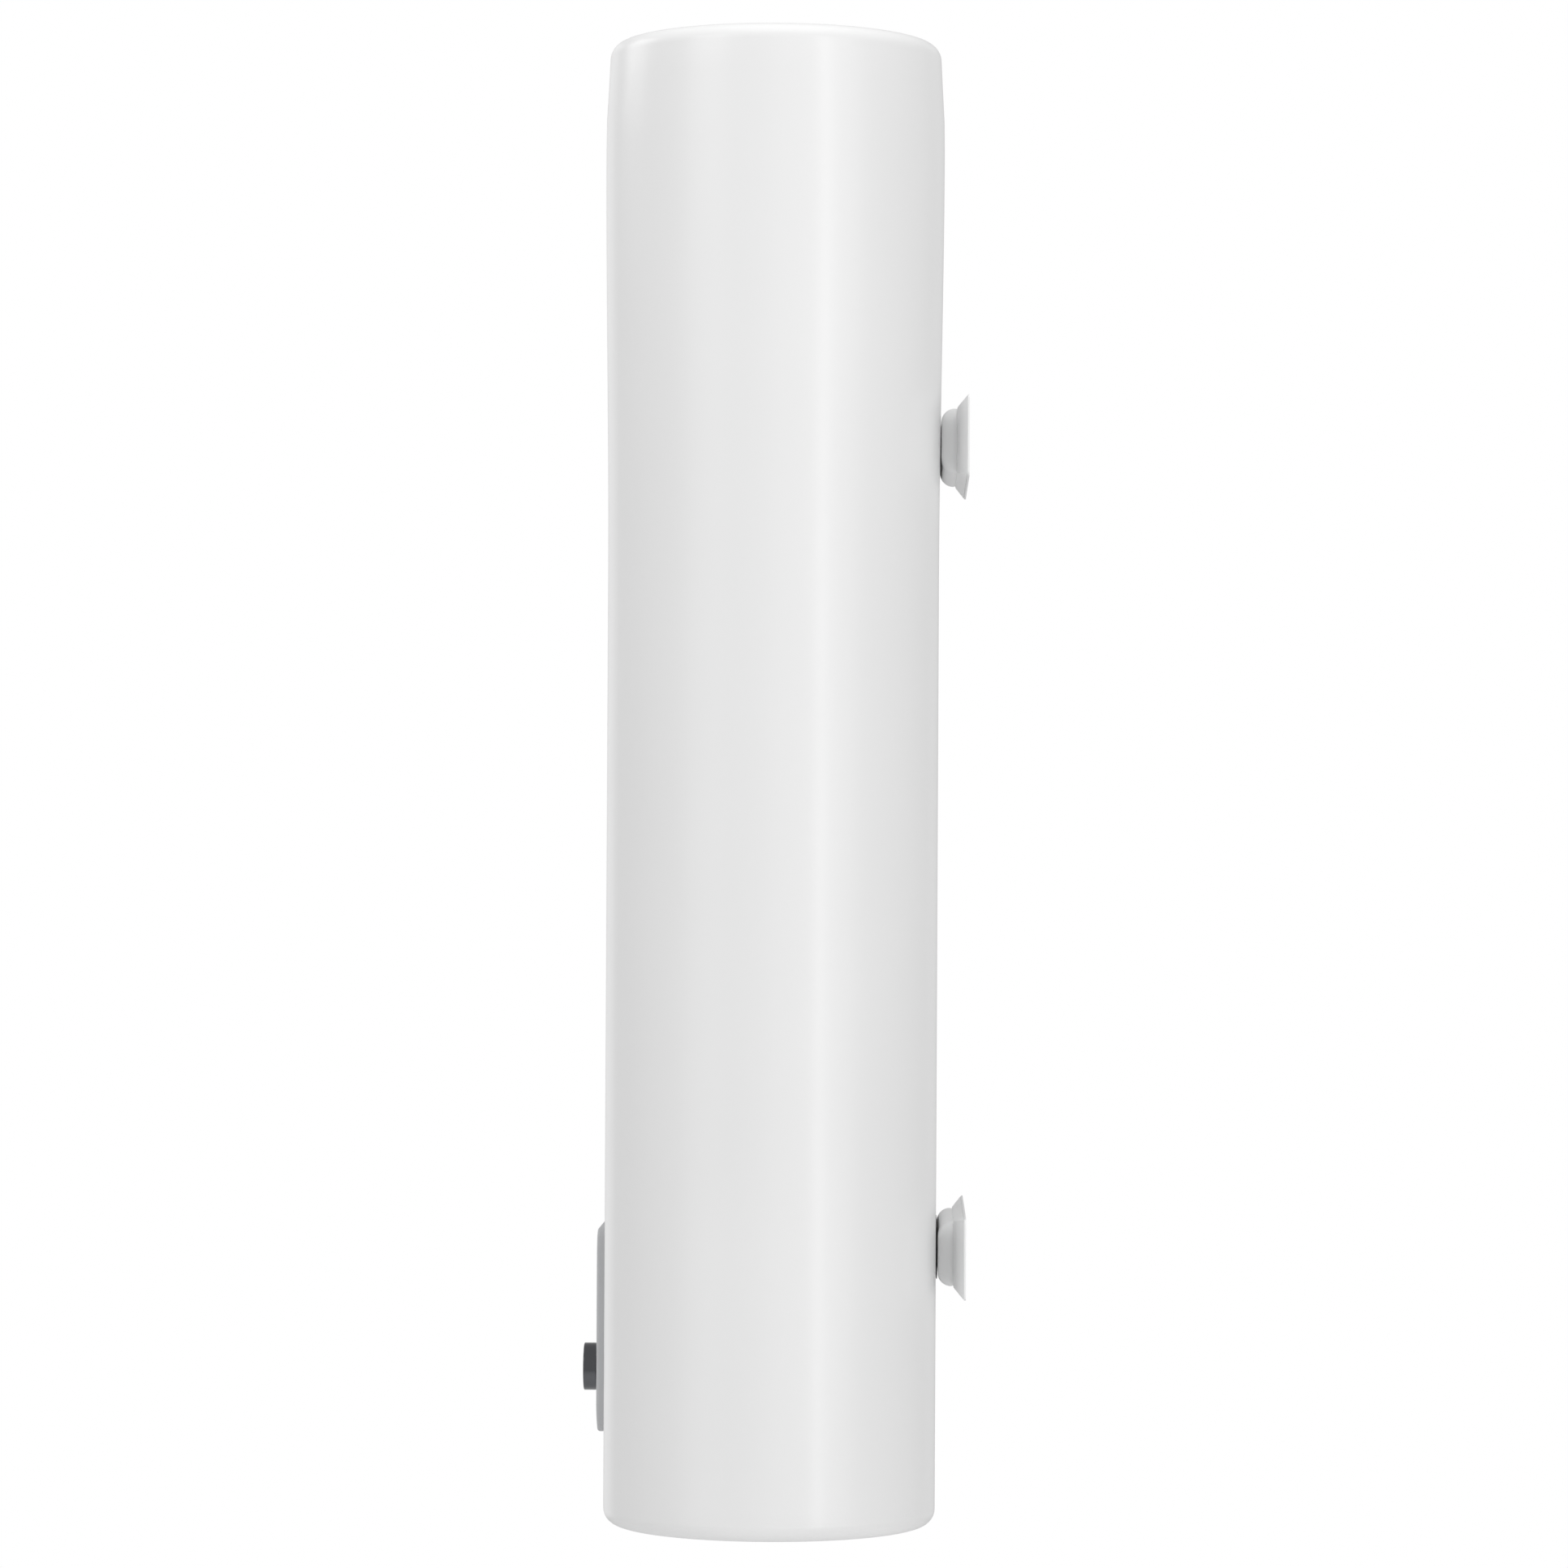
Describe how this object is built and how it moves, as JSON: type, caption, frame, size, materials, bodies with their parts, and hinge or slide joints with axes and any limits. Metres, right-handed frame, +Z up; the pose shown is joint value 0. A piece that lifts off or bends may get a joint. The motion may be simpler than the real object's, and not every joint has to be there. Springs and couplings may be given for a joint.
{
  "type": "tank water heater",
  "caption": "Slim wall-hung electric storage water heater: white round-sided jacket, control panel with a knob low on the front, two pressed wall brackets behind, pipes in a recessed underside.",
  "frame": {"origin": "middle of the upper wall bracket's top edge, on the rim face that meets the wall", "axes": "+X to the right as seen from the room, +Y into the wall, +Z up; the front faces -Y"},
  "size_m": [0.434, 0.2987, 1.1381],
  "materials": {
    "white_enamel": "satin",
    "grey_paint": "satin",
    "white_plastic": "satin",
    "grey_plastic": "satin",
    "dark_plastic": "gloss",
    "black_rubber": "matte",
    "chrome": "polished",
    "zinc_steel": "satin",
    "copper": "satin",
    "magnesium": "matte",
    "tank_enamel": "gloss",
    "foam": "matte",
    "red_plastic": "satin",
    "blue_plastic": "satin",
    "board_green": "satin"
  },
  "bodies": {
    "root": {"jacket": "white_enamel", "top_cover": "white_enamel", "foam_jacket": "foam", "upper_bracket": "grey_paint", "upper_pad": "black_rubber", "upper_anchor": "zinc_steel", "upper_left_mount_bolt": "zinc_steel", "upper_right_mount_bolt": "zinc_steel", "lower_bracket": "grey_paint", "lower_pad": "black_rubber", "lower_anchor": "zinc_steel", "lower_left_mount_bolt": "zinc_steel", "lower_right_mount_bolt": "zinc_steel", "left_tank": "tank_enamel", "right_tank": "tank_enamel", "hot_pipe": "zinc_steel", "hot_collar": "red_plastic", "cold_pipe": "zinc_steel", "cold_collar": "blue_plastic", "link_pipe": "zinc_steel", "left_weld_ring": "zinc_steel", "left_gasket": "black_rubber", "left_flange": "zinc_steel", "left_flange_bolt_1": "zinc_steel", "left_flange_bolt_2": "zinc_steel", "left_flange_bolt_3": "zinc_steel", "left_flange_bolt_4": "zinc_steel", "left_heating_element": "copper", "left_anode": "magnesium", "left_sensor_well": "copper", "right_weld_ring": "zinc_steel", "right_gasket": "black_rubber", "right_flange": "zinc_steel", "right_flange_bolt_1": "zinc_steel", "right_flange_bolt_2": "zinc_steel", "right_flange_bolt_3": "zinc_steel", "right_flange_bolt_4": "zinc_steel", "right_heating_element": "copper", "right_anode": "magnesium", "right_sensor_well": "copper", "bottom_cap": "white_enamel", "service_cover": "white_plastic", "cover_screw_1": "zinc_steel", "cover_screw_2": "zinc_steel", "cover_screw_3": "zinc_steel", "cover_screw_4": "zinc_steel", "thermal_cutout": "dark_plastic", "terminal_block": "white_plastic", "cable_gland": "grey_plastic", "control_panel": "grey_plastic", "display_window": "dark_plastic", "left_lamp": "red_plastic", "right_lamp": "red_plastic", "control_housing": "grey_plastic", "control_board": "board_green", "rotary_encoder": "zinc_steel"},
    "knob": {"knob_ring": "chrome", "knob_cap": "white_plastic", "knob_shaft": "zinc_steel"},
    "reset_button": {"reset_button": "red_plastic"}
  },
  "joints": [
    {"name": "knob_turn", "type": "hinge", "parent": "root", "child": "knob", "pos_m": [0, -0.2774, -0.75325], "axis": [0, 1, 0], "range_deg": [0, 270]},
    {"name": "reset_press", "type": "slide", "parent": "root", "child": "reset_button", "axis": [0, 0, 1], "range_m": [0, 0.0025], "stiffness_N_per_m": 600, "springref_m": -0.002}
  ]
}
